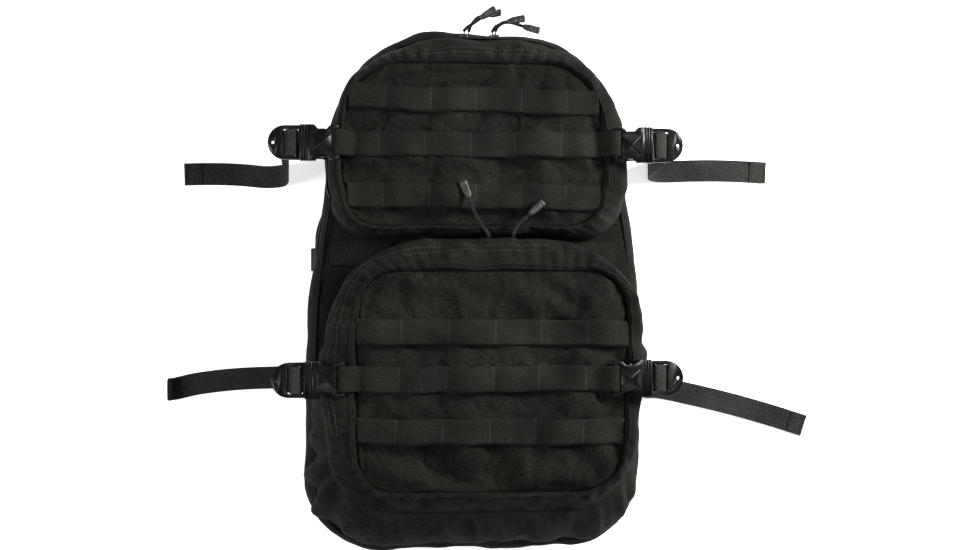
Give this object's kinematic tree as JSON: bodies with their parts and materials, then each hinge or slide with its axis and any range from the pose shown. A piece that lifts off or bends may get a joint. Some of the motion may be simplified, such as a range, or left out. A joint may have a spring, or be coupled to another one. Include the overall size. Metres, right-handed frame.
{
  "type": "trauma backpack",
  "caption": "Black nylon trauma backpack lying on its back: clamshell main compartment, two zipped front pockets, rows of webbing and side release compression straps.",
  "frame": {"origin": "middle of the spine pad's outer face, on the surface that the pack lies on", "axes": "+Z out of the front of the pack, +Y towards its top, +X towards the wearer's right"},
  "size_m": [0.7502, 0.5746, 0.2097],
  "materials": {
    "shell_nylon": "matt woven nylon",
    "webbing": "ribbed nylon webbing",
    "air_mesh": "spacer mesh over foam",
    "acetal": "fine moulded",
    "frame_polymer": "natural polyethylene sheet",
    "zip_coil": "nylon coil on tape",
    "slider_enamel": "black enamel",
    "paracord": "braided nylon",
    "grip_plastic": "satin moulded"
  },
  "bodies": {
    "pack": {"back_panel": "air_mesh", "frame_sheet": "frame_polymer", "lumbar_pad": "air_mesh", "spine_pad": "air_mesh", "haul_handle": "webbing", "main_gusset": "shell_nylon", "main_zip": "zip_coil", "shoulder_strap_left": "air_mesh", "shoulder_strap_right": "air_mesh", "shoulder_lock_left": "acetal", "shoulder_lock_right": "acetal", "shoulder_web_left": "webbing", "shoulder_web_right": "webbing"},
    "main_front": {"main_panel": "shell_nylon", "upper_gusset": "shell_nylon", "upper_zip": "zip_coil", "lower_gusset": "shell_nylon", "lower_zip": "zip_coil"},
    "upper_lid": {"upper_cover": "shell_nylon", "upper_row_top": "webbing", "upper_row_middle": "webbing", "upper_row_bottom": "webbing", "buckle_socket_upper_left": "acetal", "buckle_socket_upper_right": "acetal", "strap_anchor_upper_left": "webbing", "strap_anchor_upper_right": "webbing"},
    "lower_lid": {"lower_cover": "shell_nylon", "lower_row_top": "webbing", "lower_row_middle": "webbing", "lower_row_bottom": "webbing", "buckle_socket_lower_left": "acetal", "buckle_socket_lower_right": "acetal", "strap_anchor_lower_left": "webbing", "strap_anchor_lower_right": "webbing"},
    "plug_upper_left": {"buckle_plug_upper_left": "acetal", "strap_tail_upper_left": "webbing"},
    "plug_upper_right": {"buckle_plug_upper_right": "acetal", "strap_tail_upper_right": "webbing"},
    "plug_lower_left": {"buckle_plug_lower_left": "acetal", "strap_tail_lower_left": "webbing"},
    "plug_lower_right": {"buckle_plug_lower_right": "acetal", "strap_tail_lower_right": "webbing"},
    "main_slider_left_body": {"main_slider_left": "slider_enamel"},
    "main_pull_left_body": {"main_pull_left_cord": "paracord", "main_pull_left_grip": "grip_plastic"},
    "main_slider_right_body": {"main_slider_right": "slider_enamel"},
    "main_pull_right_body": {"main_pull_right_cord": "paracord", "main_pull_right_grip": "grip_plastic"},
    "upper_slider_left_body": {"upper_slider_left": "slider_enamel"},
    "upper_pull_left_body": {"upper_pull_left_cord": "paracord", "upper_pull_left_grip": "grip_plastic"},
    "upper_slider_right_body": {"upper_slider_right": "slider_enamel"},
    "upper_pull_right_body": {"upper_pull_right_cord": "paracord", "upper_pull_right_grip": "grip_plastic"},
    "lower_slider_left_body": {"lower_slider_left": "slider_enamel"},
    "lower_pull_left_body": {"lower_pull_left_cord": "paracord", "lower_pull_left_grip": "grip_plastic"},
    "lower_slider_right_body": {"lower_slider_right": "slider_enamel"},
    "lower_pull_right_body": {"lower_pull_right_cord": "paracord", "lower_pull_right_grip": "grip_plastic"}
  },
  "joints": [
    {"name": "main_front_hinge", "type": "hinge", "parent": "pack", "child": "main_front", "pos_m": [0, -0.2815, 0.0768], "axis": [1, 0, 0], "range_deg": [0, 100]},
    {"name": "upper_lid_hinge", "type": "hinge", "parent": "main_front", "child": "upper_lid", "pos_m": [0, 0.0562, 0.165], "axis": [1, 0, 0], "range_deg": [0, 90], "deforming": ["strap_anchor_upper_left", "strap_anchor_upper_right"]},
    {"name": "lower_lid_hinge", "type": "hinge", "parent": "main_front", "child": "lower_lid", "pos_m": [0, -0.2283, 0.195], "axis": [1, 0, 0], "range_deg": [0, 110], "deforming": ["strap_anchor_lower_left", "strap_anchor_lower_right"]},
    {"name": "release_upper_left", "type": "slide", "parent": "upper_lid", "child": "plug_upper_left", "axis": [-1, 0, 0], "range_m": [0, 0.03]},
    {"name": "release_upper_right", "type": "slide", "parent": "upper_lid", "child": "plug_upper_right", "axis": [1, 0, 0], "range_m": [0, 0.03]},
    {"name": "release_lower_left", "type": "slide", "parent": "lower_lid", "child": "plug_lower_left", "axis": [-1, 0, 0], "range_m": [0, 0.03]},
    {"name": "release_lower_right", "type": "slide", "parent": "lower_lid", "child": "plug_lower_right", "axis": [1, 0, 0], "range_m": [0, 0.03]},
    {"name": "main_slider_left_travel", "type": "slide", "parent": "pack", "child": "main_slider_left_body", "axis": [-1, 0, 0], "range_m": [0, 0.045]},
    {"name": "main_pull_left_swing", "type": "hinge", "parent": "main_slider_left_body", "child": "main_pull_left_body", "pos_m": [-0.004, 0.2786, 0.073], "axis": [-1, 0, 0], "range_deg": [0, 60], "deforming": ["main_pull_left_cord"]},
    {"name": "main_slider_right_travel", "type": "slide", "parent": "pack", "child": "main_slider_right_body", "axis": [1, 0, 0], "range_m": [0, 0.028]},
    {"name": "main_pull_right_swing", "type": "hinge", "parent": "main_slider_right_body", "child": "main_pull_right_body", "pos_m": [0.022, 0.2786, 0.073], "axis": [-1, 0, 0], "range_deg": [0, 60], "deforming": ["main_pull_right_cord"]},
    {"name": "upper_slider_left_travel", "type": "slide", "parent": "main_front", "child": "upper_slider_left_body", "axis": [-1, 0, 0], "range_m": [0, 0.036]},
    {"name": "upper_pull_left_swing", "type": "hinge", "parent": "upper_slider_left_body", "child": "upper_pull_left_body", "pos_m": [-0.012, 0.2666, 0.1328], "axis": [1, 0, 0], "range_deg": [0, 40], "deforming": ["upper_pull_left_cord"]},
    {"name": "upper_slider_right_travel", "type": "slide", "parent": "main_front", "child": "upper_slider_right_body", "axis": [1, 0, 0], "range_m": [0, 0.027]},
    {"name": "upper_pull_right_swing", "type": "hinge", "parent": "upper_slider_right_body", "child": "upper_pull_right_body", "pos_m": [0.021, 0.2666, 0.1328], "axis": [1, 0, 0], "range_deg": [0, 40], "deforming": ["upper_pull_right_cord"]},
    {"name": "lower_slider_left_travel", "type": "slide", "parent": "main_front", "child": "lower_slider_left_body", "axis": [-1, 0, 0], "range_m": [0, 0.08]},
    {"name": "lower_pull_left_swing", "type": "hinge", "parent": "lower_slider_left_body", "child": "lower_pull_left_body", "pos_m": [0, 0.0562, 0.165], "axis": [1, 0, 0], "range_deg": [0, 90], "deforming": ["lower_pull_left_cord"]},
    {"name": "lower_slider_right_travel", "type": "slide", "parent": "main_front", "child": "lower_slider_right_body", "axis": [1, 0, 0], "range_m": [0, 0.04]},
    {"name": "lower_pull_right_swing", "type": "hinge", "parent": "lower_slider_right_body", "child": "lower_pull_right_body", "pos_m": [0, 0.0562, 0.165], "axis": [1, 0, 0], "range_deg": [0, 90], "deforming": ["lower_pull_right_cord"]}
  ],
  "couplings": [
    {"joint": "lower_pull_left_swing", "follows": "upper_lid_hinge", "ratio": 1},
    {"joint": "lower_pull_right_swing", "follows": "upper_lid_hinge", "ratio": 1}
  ]
}
